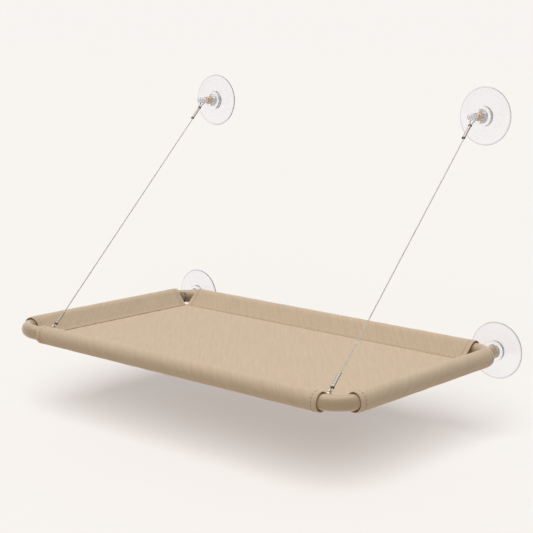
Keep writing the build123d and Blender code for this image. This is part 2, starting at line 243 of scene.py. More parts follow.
def sewing_thread(colours):
    """Bonded polyester thread: slightly glossy, twisted from three plies."""
    made, node, shader = new_material("sewing_thread")
    dark, light = shade_pair(colours.thread, 0.8, 1.12)
    place = node("TexCoord").outputs["Object"]
    # The plies of the twist are 0.6 mm apart.
    twist = node(
        "TexWave", {"Vector": place, "Scale": WAVE_PERIOD / (0.6 * MM)}, bands_direction="DIAGONAL"
    )
    # The grooves between the plies are painted darker and the crests lighter, in step with the
    # bump: painted shade.
    colour = node("Mix", {"Factor": twist, "A": dark, "B": light}, data_type="RGBA")
    bump = node("Bump", {"Height": twist, "Strength": 0.4, "Distance": 0.1 * MM})
    set_sockets(shader, {"Base Color": colour, "Normal": bump, "Roughness": 0.6})
    return made


def grained(name, colour, roughness, grain, depth, finish, spread=0.08):
    """An opaque surface with a fine grain: its tone, gloss and relief follow one noise.
    grain and depth are in millimetres, and finish sets more of the shader's sockets."""
    made, node, shader = new_material(name)
    dark, light = shade_pair(colour, 1 - spread, 1 + spread)
    place = node("TexCoord").outputs["Object"]
    noise = node("TexNoise", {"Vector": place, "Scale": 1 / (grain * MM), "Detail": 4.0})
    # Broad clouds of tone, about 24 mm apart.
    broad = node("TexNoise", {"Vector": place, "Scale": 1 / (24 * MM), "Detail": 2.0})
    mixed = node("Mix", {"Factor": 0.5, "A": noise, "B": broad})
    tone = node("MapRange", {"Value": mixed, "From Min": 0.3, "From Max": 0.7})
    colour_mix = node("Mix", {"Factor": tone, "A": dark, "B": light}, data_type="RGBA")
    low, high = roughness - 0.06, roughness + 0.06
    rough = node("MapRange", {"Value": noise, "To Min": low, "To Max": high})
    bump = node("Bump", {"Height": noise, "Strength": 0.35, "Distance": depth * MM})
    set_sockets(shader, {"Base Color": colour_mix, "Roughness": rough, "Normal": bump, **finish})
    return made


def clear_plastic(name, colour, roughness, ior, clearness=1.0):
    """Clear moulded plastic, with faint flow ripples from the mould, about 9 mm apart."""
    made, node, shader = new_material(name)
    place = node("TexCoord").outputs["Object"]
    flow = node("TexNoise", {"Vector": place, "Scale": 1 / (9 * MM), "Detail": 2.0})
    bump = node("Bump", {"Height": flow, "Strength": 0.25, "Distance": 0.25 * MM})
    low, high = roughness * 0.6, roughness * 1.4
    rough = node("MapRange", {"Value": flow, "To Min": low, "To Max": high})
    set_sockets(shader, {"Base Color": rgba(colour), "Roughness": rough, "Normal": bump})
    set_sockets(shader, {"Transmission Weight": clearness, "IOR": ior})
    return made


def dress(node_name, material):
    """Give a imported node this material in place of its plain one."""
    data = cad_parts[node_name].data
    data.materials.clear()
    data.materials.append(material)


# Lines and meshes


def unit(vectors):
    """The vectors of an array, each at length one."""
    return vectors / np.linalg.norm(vectors, axis=-1, keepdims=True)


def distances(points):
    """How far along a line each of its points lies."""
    return np.concatenate([[0], np.cumsum(np.linalg.norm(np.diff(points, axis=0), axis=1))])


def points_at(at, gone, points):
    """The points at some distances along a line, whose own points lie at gone."""
    return np.stack([np.interp(at, gone, column) for column in points.T], axis=1)


def spread_out(close, total, pitch):
    """Places from 0 to total: the close ones at each end, and evenly spaced ones between."""
    count = int((total - 2 * close[-1]) / pitch)
    between = np.linspace(close[-1], total - close[-1], count)[1:-1]
    return np.concatenate([close, between, (total - close)[::-1]])


def ripple(x, wavelength, seed):
    """An irregular smooth wave along x, about one unit high, the same each run."""
    phases = np.random.default_rng(seed).uniform(0, 2 * np.pi, 4)
    lengths = wavelength * np.array([1.0, 1.37, 0.71, 2.3])
    waves = [np.sin(2 * np.pi * x / size + turn) for size, turn in zip(lengths, phases)]
    return sum(waves) / 2.4


def smooth_step(value, low, high):
    """A smooth rise from 0 at low to 1 at high, which may be the smaller of the two."""
    t = np.clip((value - low) / (high - low), 0, 1)
    return t * t * (3 - 2 * t)


def bell(offset, width):
    """A bell curve, one high where the offset is zero."""
    return np.exp(-((offset / width) ** 2))


def put_object(name, data):
    """An object of this name in the scene, from its data."""
    made = bpy.data.objects.new(name, data)
    bpy.context.scene.collection.objects.link(made)
    return made


def put_mesh(name, points, faces, uvs=None):
    """A mesh object from points in millimetres."""
    data = bpy.data.meshes.new(name)
    data.from_pydata((np.asarray(points) * MM).tolist(), [], [list(f) for f in faces])
    if uvs is not None:
        layer = data.uv_layers.new(name="UVMap")
        corners = np.zeros(len(data.loops), np.int64)
        data.loops.foreach_get("vertex_index", corners)
        layer.data.foreach_set("uv", np.asarray(uvs, np.float32)[corners].ravel())
    return put_object(name, data)


def set_active(piece):
    """Select this piece alone."""
    bpy.ops.object.select_all(action="DESELECT")
    piece.select_set(True)
    bpy.context.view_layer.objects.active = piece


def smooth(piece, degrees):
    """Shade a piece smooth, but for edges that are sharper than the angle."""
    set_active(piece)
    bpy.ops.object.shade_smooth_by_angle(angle=math.radians(degrees))


def face_outwards(piece):
    """Turn all the faces of a closed mesh outwards."""
    shell = bmesh.new()
    shell.from_mesh(piece.data)
    bmesh.ops.recalc_face_normals(shell, faces=shell.faces)
    shell.to_mesh(piece.data)
    shell.free()


def tube_faces(rings, sides, base=0):
    """Faces of a tube closed at both ends. Its points come ring by ring, from number base."""
    faces = []
    for start in range(base, base + (rings - 1) * sides, sides):
        for near in range(sides):
            far = (near + 1) % sides
            quad = (near, far, sides + far, sides + near)
            faces.append([start + corner for corner in quad])
    last = base + (rings - 1) * sides
    faces.append([base + k for k in reversed(range(sides))])
    faces.append([last + k for k in range(sides)])
    return faces


def cloth_shell(name, inner, thickness, uv, outward):
    """A closed ply of cloth. inner is a grid of points on its inner face, and thickness
    goes from there along the normal, which points the way that outward says. The
    four edges are rounded like a fold."""
    rows, columns = inner.shape[:2]
    normal = unit(np.cross(np.gradient(inner, axis=0), np.gradient(inner, axis=1)))
    if np.mean(np.sum(normal * outward, axis=2)) < 0:
        normal = -normal
    outer = inner + normal * thickness[..., None]
    count = rows * columns
    index = np.arange(count).reshape(rows, columns)
    quads = np.stack(
        [index[:-1, :-1], index[1:, :-1], index[1:, 1:], index[:-1, 1:]], axis=-1
    ).reshape(-1, 4)
    ring = np.concatenate([index[0, :-1], index[:-1, -1], index[-1, :0:-1], index[:0:-1, 0]])
    # The rim runs round the edge, halfway through the ply and pushed out of it.
    pushed = np.zeros_like(inner)
    pushed[0] += inner[0] - inner[1]
    pushed[-1] += inner[-1] - inner[-2]
    pushed[:, 0] += inner[:, 0] - inner[:, 1]
    pushed[:, -1] += inner[:, -1] - inner[:, -2]
    push = 0.35 * thickness.reshape(-1)[ring][:, None] * unit(pushed.reshape(-1, 3)[ring])
    flat_inner, flat_outer, flat_uv = inner.reshape(-1, 3), outer.reshape(-1, 3), uv.reshape(-1, 2)
    rim = (flat_inner[ring] + flat_outer[ring]) / 2 + push
    faces = [*quads.tolist(), *(quads[:, ::-1] + count).tolist()]
    for k, here in enumerate(ring):
        after = (k + 1) % len(ring)
        there, low, high = ring[after], 2 * count + k, 2 * count + after
        faces.append((here, there, high, low))
        faces.append((low, high, there + count, here + count))
    points = np.concatenate([flat_outer, flat_inner, rim])
    made = put_mesh(name, points, faces, np.concatenate([flat_uv, flat_uv, flat_uv[ring]]))
    face_outwards(made)
    made.data.polygons.foreach_set("use_smooth", [True] * len(made.data.polygons))
    return made, outer, normal


def begin_shape(radius, points):
    """Add a circle with nothing else selected, and open it in edit mode."""
    bpy.ops.object.select_all(action="DESELECT")
    bpy.ops.mesh.primitive_circle_add(vertices=points, radius=radius, location=(0, 0, 0))
    bpy.ops.object.mode_set(mode="EDIT")
    return bpy.context.object


def extrude_up(rise, scale, height):
    """Extrude the selected ring by rise, and scale it about the axis at its new height."""
    bpy.ops.mesh.extrude_region_move(TRANSFORM_OT_translate={"value": (0, 0, rise * MM)})
    bpy.ops.transform.resize(value=(*scale, 1), center_override=(0, 0, height * MM))


def end_shape(piece, name, degrees):
    """Close the open ends, turn the faces outwards and leave edit mode."""
    bpy.ops.mesh.select_all(action="SELECT")
    bpy.ops.mesh.fill_holes(sides=0)
    bpy.ops.mesh.select_all(action="SELECT")
    bpy.ops.mesh.normals_make_consistent(inside=False)
    bpy.ops.object.mode_set(mode="OBJECT")
    piece.name = name
    piece.data.name = name
    smooth(piece, degrees)
    return piece


def placed_copy(pattern, name, matrix):
    """A copy of a modelled piece with its own mesh, moved into place in that mesh."""
    data = pattern.data.copy()
    data.name = name
    data.transform(matrix)
    return put_object(name, data)


def drop(pattern):
    """Delete the pattern once its copies are in place."""
    data = pattern.data
    bpy.data.objects.remove(pattern)
    bpy.data.meshes.remove(data)


def cable_axes(side):
    """Pivot, direction along the cable, direction across its loops, and the span."""
    pivot, stud = Vector(PIVOTS[side]), Vector(STUDS[side])
    along = (stud - pivot).normalized()
    across = (Vector((1, 0, 0)) - along * along.x).normalized()
    return pivot, along, across, (stud - pivot).length / MM


# Canvas


def bend_offset(side, run):
    """How far the tube's centreline has turned inwards at a run along the side."""
    middle, half = (MIDDLE_Y, HALF_DEPTH) if side in SIDES else (0, HALF_WIDTH)
    past = np.clip(np.abs(run - middle) - (half - BEND_RADIUS), 0, BEND_RADIUS)
    return BEND_RADIUS - np.sqrt(BEND_RADIUS**2 - past**2)


def sleeve_world(side, inset, z, run):
    """A point of a sleeve's section, inset from its tube's centreline, at a run along it."""
    line, inwards = TUBE_LINES[side]
    x, y = run, line + inwards * inset
    if side in SIDES:
        x, y = y, x
    return np.stack(np.broadcast_arrays(x, y, z), axis=-1)


def section_line(cloth):
    """Inner line of a sleeve's section, from the upper fold edge over the tube to the
    lower one: distances from the fold edge, a quarter of a millimetre apart, the inset
    and height there, and how much each point belongs to the round of the tube."""
    bend_inset = 25.5  # where the flat of the seam turns up to the tube
    to_panel = cloth / 2 + 0.05
    upper, lower = PANEL_Z + to_panel, PANEL_Z - to_panel
    corners = []
    for height, sign in ((upper, 1), (lower, -1)):
        reach = math.hypot(bend_inset, height)
        corners.append(math.atan2(height, bend_inset) + sign * math.acos(SLEEVE_BORE / reach))
    angles = np.linspace(corners[0], corners[1] + 2 * math.pi, 120)
    inset = [FOLD_INSET, bend_inset, *(SLEEVE_BORE * np.cos(angles)), bend_inset, FOLD_INSET]
    height = [upper, upper, *(SLEEVE_BORE * np.sin(angles)), lower, lower]
    line = np.array([inset, height]).T
    gone = distances(line)
    fine = np.arange(0, gone[-1], 0.25)
    line = points_at(fine, gone, line)
    width = 6  # samples: rounds the bend at the seam over about 3 mm
    kernel = np.exp(-0.5 * (np.arange(-3 * width, 3 * width + 1) / width) ** 2)
    kernel /= kernel.sum()
    padded = np.pad(line, ((3 * width, 3 * width), (0, 0)), mode="reflect", reflect_type="odd")
    soft = np.stack([np.convolve(column, kernel, mode="valid") for column in padded.T], axis=1)
    near_tube = smooth_step(np.hypot(soft[:, 0], soft[:, 1]), SLEEVE_BORE + 3.0, SLEEVE_BORE)
    return fine, soft, near_tube


def sleeve_stations(length, hem):
    """Places along a sleeve, closer together in its hems."""
    stitch = hem - HEM_STITCH
    close = [0, 0.5, 1.2, 2.2, 3.4, 4.6, stitch - 0.6, stitch, stitch + 0.6]
    close += [hem - 0.6, hem, hem + 0.7, hem + 1.6, hem + 3.0]
    return spread_out(np.array(close), length, 3.0)


def section_stations(total):
    """Places round a section, closer together at the seam."""
    close = np.array([0, 0.35, 0.8, 1.2, 1.6, 2.0, 2.4, 3.0, 3.8, 4.8, 6.0, 7.5])
    return spread_out(close, total, 1.6)


def sleeve_grids(side, sizes):
    """Grids of a sleeve: inner points, thickness, UV and outward direction. Rows go round
    the section and columns along the run."""
    start, stop = SLEEVE_RUNS[side]
    length = stop - start
    cloth, hem_cloth = sizes.cloth / MM, sizes.hem / MM
    hem = sizes.hem_length / MM
    fine, line, near_tube = section_line(cloth)
    around = section_stations(fine[-1])
    along = sleeve_stations(length, hem)
    inset, height = points_at(around, fine, line).T[..., None]
    on_tube = np.interp(around, fine, near_tube)[:, None]
    to_mouth = np.minimum(along, length - along)[None, :]
    to_fold = np.minimum(around, fine[-1] - around)[:, None]
    upper = (around < fine[-1] / 2)[:, None]
    # The outer side of a mouth reaches further than its seam.
    lean_start, lean_stop = MOUTH_LEANS[side]
    outer_share = np.clip((FOLD_INSET - inset) / (FOLD_INSET + SLEEVE_BORE), 0, 1)
    from_start = smooth_step(along, LEAN_REACH, 0.0)[None, :]
    from_stop = smooth_step(length - along, LEAN_REACH, 0.0)[None, :]
    flat_run = (start + along)[None, :]
    run = flat_run + outer_share * (lean_stop * from_stop - lean_start * from_start)
    # Past the start of a bend the sleeve follows the bend inwards.
    follow = bend_offset(side, run) * on_tube
    # The open mouth stands off the elbow a little, and its hem is turned inwards.
    at_hem = smooth_step(to_mouth, hem + 0.5, hem - 0.7)
    flare = 0.25 * np.clip(1 - to_mouth / hem, 0, 1) ** 1.4
    flare = (flare - (hem_cloth - cloth) * at_hem) * on_tube
    # Gathers at the seam, 11 mm apart, die out up the slope. Long tension lines cross it.
    seed = SLEEVE_SEEDS[side]
    gather = 0.22 * ripple(flat_run, 11.0, seed)
    gather = gather * np.exp(-to_fold / 7.0) * smooth_step(to_fold, 0.0, 3.0)
    tension = 0.3 * ripple(flat_run + 0.5 * to_fold, 34.0, seed + 1) * bell(to_fold - 12.0, 8.0)
    loose = 0.12 * (1 + ripple(flat_run + to_fold, 47.0, seed + 2)) * on_tube
    lift = flare + (gather + tension) * (1 - on_tube) * np.where(upper, 1, -0.6) + loose
    # On the round of the tube the cloth lifts straight off it, and elsewhere up or down.
    on_round = on_tube > 0.5
    radius = np.hypot(inset, height)
    slope_up = np.where(upper, 1.0, -1.0)
    push_inset = np.where(on_round, inset / radius, 0.0) * lift
    push_height = np.where(on_round, height / radius, slope_up * 0.95) * lift
    inner = sleeve_world(side, inset + push_inset + follow, height + push_height, run)
    # The stitches pull a groove, and the folded edge at the seam is pressed round. It
    # stands up on the left sleeve.
    groove = -0.1 * bell(to_fold - SEAM_STITCH, 0.55) - 0.2 * bell(to_mouth - hem + HEM_STITCH, 0.6)
    double = np.maximum(smooth_step(to_fold, 4.0, 3.0), at_hem)
    pressed = 0.75 if side == "left" else 0.4
    edge = pressed + (1 - pressed) * smooth_step(to_fold, 0.0, 1.5)
    thickness = edge * (cloth + (hem_cloth - cloth) * double + groove)
    uv = sleeve_world(side, FOLD_INSET - around[:, None], 0.0, flat_run)[..., :2] * MM
    out_inset = np.where(on_round, inset / radius, 0.1)
    out_height = np.where(on_round, height / radius, slope_up)
    outward = sleeve_world(side, out_inset, out_height, run) - sleeve_world(side, 0.0, 0.0, run)
    return inner, thickness, uv, outward, around, along


def surface_point(grid, around, along, s, run):
    """A point of a sleeve's grid at a distance s from the upper fold and a run along it."""
    i = np.clip(np.searchsorted(around, s) - 1, 0, len(around) - 2)
    j = np.clip(np.searchsorted(along, run) - 1, 0, len(along) - 2)
    a = ((s - around[i]) / (around[i + 1] - around[i]))[:, None]
    b = ((run - along[j]) / (along[j + 1] - along[j]))[:, None]
    low = grid[i, j] * (1 - a) + grid[i + 1, j] * a
    high = grid[i, j + 1] * (1 - a) + grid[i + 1, j + 1] * a
    return low * (1 - b) + high * b


def stitching(name, rows, sizes):
    """A mesh of the stitches of some rows, each a line of points and their normals in
    millimetres. A stitch is a short thread that follows its line, sunk at its ends."""
    pitch, length = sizes.stitch_pitch / MM, sizes.stitch_length / MM
    thick = sizes.thread / MM / 2
    steps = length * np.array([-0.5, -0.36, 0.0, 0.36, 0.5])
    rise = thick * np.array([-0.9, 0.35, 0.75, 0.35, -0.9])
    size = thick * np.array([0.45, 0.95, 1.0, 0.95, 0.45])
    turn = np.arange(6)[:, None] * math.pi / 3
    stitches = []
    for points, normals in rows:
        gone = distances(points)
        count = int(gone[-1] // pitch)
        first = (gone[-1] - (count - 1) * pitch) / 2
        for k in range(count):
            at = first + k * pitch + steps
            line = points_at(at, gone, points)
            up = unit(points_at(at, gone, normals))
            sideways = np.cross(unit(np.gradient(line, axis=0)), up)
            centre = line + up * rise[:, None]
            round_it = sideways[:, None] * np.cos(turn) + up[:, None] * np.sin(turn)
            stitches.append(centre[:, None] + round_it * size[:, None, None])
    points = np.concatenate(stitches).reshape(-1, 3)
    rings, sides = len(steps), len(turn)
    faces = []
    for base in range(0, len(points), rings * sides):
        faces += tube_faces(rings, sides, base)
    made = put_mesh(name, points, faces)
    face_outwards(made)
    smooth(made, 60)
    return made


# Operators


class HAMMOCK_OT_stage(bpy.types.Operator):
    """Camera, floor, lamps and world"""

    bl_idname = "hammock.stage"
    bl_label = "Stage and camera"

    def execute(self, context):
        colours = context.scene.hammock_colours
        self.camera(context)
        self.floor()
        self.world(context, colours)
        self.lamp("key_light", 1.8, 70, (0.28, -0.01, -1.0), "EXCLUDE")
        self.lamp("floor_light", 12.0, 30, (-0.91, 1.19, -1.0), "INCLUDE")
        context.scene.view_settings.view_transform = "Standard"
        return {"FINISHED"}

    def lamp(self, name, energy, width, direction, floor_state):
        """A broad lamp. The key light is kept off the floor, and the floor light shines on
        the floor alone, so that the shadow can fall as in a studio with several lamps."""
        data = bpy.data.lights.new(name, "SUN")
        data.energy = energy
        data.angle = math.radians(width)
        data.color = linear("#FFFDFA")
        made = put_object(name, data)
        made.rotation_mode = "QUATERNION"
        made.rotation_quaternion = Vector(direction).to_track_quat("-Z", "Y")
        group = bpy.data.collections.new(f"{name}_floor")
        group.objects.link(bpy.data.objects["floor"])
        made.light_linking.receiver_collection = group
        group.collection_objects[0].light_linking.link_state = floor_state

    def camera(self, context):
        """The camera, tipped up from looking straight down, and turned to the bed."""
        yaw, tip, roll = (math.radians(a) for a in (39.909, 79.855, 0.994))
        turn = Matrix.Rotation(yaw, 4, "Z") @ Matrix.Rotation(tip, 4, "X")
        data = bpy.data.cameras.new("camera")
        data.sensor_width = 36
        data.lens = 87.25
        data.clip_start = 0.05
        data.clip_end = 50
        eye = put_object("camera", data)
        place = Matrix.Translation((1.1001, -1.4707, 0.4042))
        eye.matrix_world = place @ turn @ Matrix.Rotation(roll, 4, "Z")
        context.scene.camera = eye

    def floor(self):
        """A wide pale floor under the hanging bed. It catches the soft shadow."""
        reach, level = 40_000, -155
        corners = [(reach * x, reach * y, level) for x, y in ((-1, -1), (1, -1), (1, 1), (-1, 1))]
        ground = put_mesh("floor", corners, [(0, 1, 2, 3)])
        made, node, shader = new_material("painted_floor")
        made.node_tree.nodes.remove(shader)
        # Where the floor shows, it glows a little under its paint, so that it has the
        # background's colour and a soft shadow. To the bed it is plain paint.
        path = node("LightPath").outputs
        seen = node(
            "Math", {0: path["Is Camera Ray"], 1: path["Is Glossy Ray"]}, operation="MAXIMUM"
        )
        seen = node("Math", {0: seen, 1: path["Is Transmission Ray"]}, operation="MAXIMUM")
        plain, shown = rgba(linear("#858079")), rgba(linear("#7A7D7E"))
        paint = node("Mix", {"Factor": seen, "A": plain, "B": shown}, data_type="RGBA")
        lit = node("BsdfDiffuse", {"Color": paint})
        glow = node("Emission", {"Color": rgba(linear("#B1A7A1")), "Strength": seen})
        both = node("AddShader", {0: lit, 1: glow})
        set_sockets(made.node_tree.nodes["Material Output"], {"Surface": both})
        ground.data.materials.append(made)

    def world(self, context, colours):
        """Even light all round. What shows in glass and metal is the pale backdrop behind
        the object and a pale ceiling, with grey studio walls beside them, which draw the
        edges of clear parts."""
        world = bpy.data.worlds.new("studio")
        world.use_nodes = True
        node = partial(add_node, world.node_tree)
        base = world.node_tree.nodes["Background"]
        set_sockets(base, {"Color": (1, 1, 1, 1), "Strength": 0.45})
        way = node("TexCoord").outputs["Generated"]
        backdrop = (-0.64, 0.766, 0.0)  # level, and straight away from the camera
        behind = node("VectorMath", {0: way, 1: backdrop}, operation="DOT_PRODUCT")
        soft = {"interpolation_type": "SMOOTHSTEP"}
        fade = node("MapRange", {"Value": behind, "From Min": 0.6, "From Max": 0.97}, **soft)
        height = node("SeparateXYZ", {"Vector": way}).outputs["Z"]
        roof = node("MapRange", {"Value": height, "From Min": 0.5, "From Max": 0.9}, **soft)
        bright = node("Math", {0: fade, 1: roof}, operation="MAXIMUM")
        grey, pale = rgba(linear("#CBCBCE")), rgba(colours.background)
        walls = node("Mix", {"Factor": bright, "A": grey, "B": pale}, data_type="RGBA")
        mirrored = node("Background", {"Color": walls})
        plain = node("Background", {"Color": pale})
        path = node("LightPath").outputs
        sharp = node(
            "Math", {0: path["Is Glossy Ray"], 1: path["Is Transmission Ray"]}, operation="MAXIMUM"
        )
        first = node("MixShader", {0: sharp, 1: base, 2: mirrored})
        last = node("MixShader", {0: path["Is Camera Ray"], 1: first, 2: plain})
        set_sockets(world.node_tree.nodes["World Output"], {"Surface": last})
        context.scene.world = world


class HAMMOCK_OT_cables(bpy.types.Operator):
    """Wire ropes that carry the front of the bed"""

    bl_idname = "hammock.cables"
    bl_label = "Cables"

    def execute(self, context):
        sizes, colours = context.scene.hammock_sizes, context.scene.hammock_colours
        # Galvanised wire rope: drawn zinc-coated wires, grey and half bright.
        steel = grained("galvanised_rope", colours.steel, 0.34, 1.4, 0.05, METAL)
        for side in SIDES:
            line = self.route(side)
            rope = self.rope(side, line, sizes)
            rope.data.materials.append(steel)
            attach(rope, f"{side}_cable_assembly")
            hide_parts(f"{side}_cable")
        return {"FINISHED"}

    def route(self, side):
        """Points along the rope's centreline, read from its NURBS route, in metres."""
        pivot, along, across, span = cable_axes(side)
        # Across and along the cable from its pivot, in millimetres.
        corners = [(-1, 23.8), (-1, 14.4), (-1, 4.4), (-2.7, 2.4), (-1.4, 0), (1.4, 0)]
        corners += [(2.7, 2.4), (1, 4.4), (1, 14.4), (1, span - 23.8), (1, span - 13.8)]
        corners += [(5.3, span + 0.4), (2.9, span + 6.05), (-2.9, span + 6.05)]
        corners += [(-5.3, span + 0.4), (-1, span - 13.8), (-1, span - 23.8), (-1, span - 33.4)]
        data = bpy.data.curves.new(f"{side}_route", "CURVE")
        data.dimensions = "3D"
        data.resolution_u = 64
        spline = data.splines.new("NURBS")
        spline.points.add(len(corners) - 1)
        for point, (a, b) in zip(spline.points, corners):
            point.co = (*(pivot + across * a * MM + along * b * MM), 1.0)
        spline.order_u = 3
        spline.use_endpoint_u = True
        guide = bpy.data.objects.new(f"{side}_route", data)
        mesh = bpy.data.meshes.new_from_object(guide)
        points = np.zeros(len(mesh.vertices) * 3)
        mesh.vertices.foreach_get("co", points)
        bpy.data.meshes.remove(mesh)
        bpy.data.objects.remove(guide)
        bpy.data.curves.remove(data)
        points = points.reshape(-1, 3)
        gone = distances(points)
        return points_at(np.linspace(0, gone[-1], int(gone[-1] / MM) + 1), gone, points)

    def rope(self, side, line, sizes):
        """Strands laid round the line: one ring of the strands' outline per millimetre."""
        _, along, across, _ = cable_axes(side)
        plane = np.array(along.cross(across))
        strand = ROPE_DIAMETER / 6
        centre = 2 * strand
        count = sizes.rope_strands * 6  # six points round the outside of each strand
        theta = np.arange(count) * 2 * np.pi / count
        half = np.pi / sizes.rope_strands
        from_strand = (theta + half) % (2 * half) - half
        inside = np.maximum(strand**2 - (centre * np.sin(from_strand)) ** 2, 0)
        outline = centre * np.cos(from_strand) + np.sqrt(inside)
        sideways = np.cross(plane, unit(np.gradient(line, axis=0)))
        turn = theta + (2 * np.pi * distances(line) / sizes.rope_lay)[:, None]
        rings = (
            line[:, None] / MM
            + sideways[:, None] * (np.cos(turn) * outline)[..., None]
            + plane * (np.sin(turn) * outline)[..., None]
        )
        made = put_mesh(f"{side}_wire_rope", rings.reshape(-1, 3), tube_faces(len(line), count))
        face_outwards(made)
        smooth(made, 75)
        return made


class HAMMOCK_OT_ferrules(bpy.types.Operator):
    """Crimped ferrules and the dark rings at their ends"""

    bl_idname = "hammock.ferrules"
    bl_label = "Ferrules and rings"

    def execute(self, context):
        colours = context.scene.hammock_colours
        # Drawn aluminium, pressed in a hand tool: bright on its edges, dull in the marks.
        pale = grained("crimped_aluminium", colours.aluminium, 0.42, 1.0, 0.06, METAL)
        # Steel rings coloured dark brown, half metallic.
        dark = grained("dark_brown_steel", linear("#5A4C3C"), 0.42, 0.8, 0.05, {"Metallic": 0.7})
        pattern = self.ferrule()
        for side in SIDES:
            upper_start = cable_axes(side)[3] - UPPER_FERRULE_START - FERRULE_LENGTH
            for word, start in (("lower", LOWER_FERRULE_START), ("upper", upper_start)):
                piece = placed_copy(pattern, f"{side}_{word}_crimp", self.place(side, start))
                piece.data.materials.append(pale)
                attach(piece, f"{side}_cable_assembly")
                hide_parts(f"{side}_{word}_ferrule")
            for word in ("lower", "upper", "end"):
                dress(f"{side}_{word}_ring", dark)
        drop(pattern)
        return {"FINISHED"}

    def place(self, side, start):
        """Place on the cable: local Z along it, local X across the two strands."""
        pivot, along, across, _ = cable_axes(side)
        turn = Matrix((across, along.cross(across), along)).transposed()
        return Matrix.Translation(pivot + along * start * MM) @ turn.to_4x4()

    def ferrule(self):
        """An oval sleeve round both strands, drawn up from a circle that is first pulled
        to a slot, and pressed in at each crimp."""
        radius, spread = 1.3 * MM, 1.0 * MM
        piece = begin_shape(radius, 32)
        mesh = bmesh.from_edit_mesh(piece.data)
        for sign in (-1, 1):
            for vertex in mesh.verts:
                vertex.select = vertex.co.x * sign > 0.01 * MM
            mesh.select_flush(True)
            bmesh.update_edit_mesh(piece.data)
            bpy.ops.transform.translate(value=(sign * spread, 0, 0))
        bpy.ops.mesh.select_all(action="SELECT")
        # Heights, and how much of its full width the sleeve has there.
        marks = [(0.0, 0.9), (0.12, 0.97), (0.4, 1.0)]
        for start in (2.2, 5.7, 9.2, 12.7, 16.2):
            marks += [(start, 1.0), (start + 0.3, 0.94), (start + 0.6, 0.9)]
            marks += [(start + 1.3, 0.9), (start + 1.6, 0.94), (start + 1.9, 1.0)]
        marks += [(19.6, 1.0), (19.88, 0.97), (FERRULE_LENGTH, 0.9)]
        height, width = marks[0]
        bpy.ops.transform.resize(value=(width, width, 1), center_override=(0, 0, 0))
        for high, wide in marks[1:]:
            grow = wide / width
            extrude_up(high - height, (math.sqrt(grow), grow), high)
            height, width = high, wide
        return end_shape(piece, "ferrule_pattern", 50)


class HAMMOCK_OT_frame(bpy.types.Operator):
    """Tubes and bent corners"""

    bl_idname = "hammock.frame"
    bl_label = "Tubes and elbows"

    def execute(self, context):
        colours = context.scene.hammock_colours
        # Powder-coated steel tube: a fine orange-peel skin.
        paint = grained("powder_coat", linear("#A8927A"), 0.5, 1.2, 0.08, {})
        # Moulded nylon: satin, with soft broad highlights and a very fine grain.
        satin = {"Specular IOR Level": 0.4, "Coat Weight": 0.25, "Coat Roughness": 0.12}
        nylon = grained("moulded_nylon", colours.elbow, 0.26, 0.7, 0.02, satin, spread=0.04)
        for word in TUBE_LINES:
            dress(f"{word}_tube", paint)
        for end in ("front", "back"):
            for side in SIDES:
                dress(f"{end}_{side}_elbow", nylon)
        return {"FINISHED"}


class HAMMOCK_OT_sleeves(bpy.types.Operator):
    """Canvas sleeves with their hems and stitches"""

    bl_idname = "hammock.sleeves"
    bl_label = "Sleeves"

    def execute(self, context):
        sizes, colours = context.scene.hammock_sizes, context.scene.hammock_colours
        canvas = woven_canvas(sizes, colours)
        thread = sewing_thread(colours)
        for side, (start, stop) in SLEEVE_RUNS.items():
            inner, thickness, uv, outward, around, along = sleeve_grids(side, sizes)
            piece, outer, normal = cloth_shell(
                f"{side}_canvas_sleeve", inner, thickness, uv, outward
            )
            if side == "front":
                self.cut_for_anchor(piece)
            piece.data.materials.append(canvas)
            rows = self.stitch_rows(outer, normal, around, along, sizes.hem_length / MM)
            stitches = stitching(f"{side}_stitching", rows, sizes)
            stitches.data.materials.append(thread)
            for made in (piece, stitches):
                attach(made, "frame")
            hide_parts(f"{side}_sleeve")
        return {"FINISHED"}

    def stitch_rows(self, outer, normal, around, along, hem):
        """Lines for the stitches: both faces of the seam, and round each hem."""
        total, length = around[-1], along[-1]
        runs = np.arange(3.0, length - 3.0, 1.0)
        turns = np.arange(3.4, total - 3.4, 0.8)
        seams = (SEAM_STITCH, total - SEAM_STITCH)
        hems = (hem - HEM_STITCH, length - hem + HEM_STITCH)
        places = [(np.full(len(runs), s), runs) for s in seams]
        places += [(turns, np.full(len(turns), run)) for run in hems]
        return [
            [surface_point(grid, around, along, *place) for grid in (outer, normal)]
            for place in places
        ]

    def cut_for_anchor(self, piece):
        """The round opening that the left anchor's boss comes up through."""
        pivot = Vector(PIVOTS["left"])
        foot = Vector((pivot.x, FRONT_Y * MM, 0))
        axis = (pivot - foot).normalized()
        depth, middle = 16 * MM, 12 * MM  # the punch, and its distance from the tube's middle
        bpy.ops.object.select_all(action="DESELECT")
        bpy.ops.mesh.primitive_cylinder_add(vertices=48, radius=ANCHOR_OPENING * MM, depth=depth)
        punch = bpy.context.object
        turn = axis.to_track_quat("Z", "Y").to_matrix().to_4x4()
        punch.data.transform(Matrix.Translation(foot + axis * middle) @ turn)
        set_active(piece)
        cut = piece.modifiers.new("anchor_opening", "BOOLEAN")
        cut.operation = "DIFFERENCE"
        cut.solver = "EXACT"
        cut.object = punch
        bpy.ops.object.modifier_apply(modifier=cut.name)
        drop(punch)
        smooth(piece, 60)


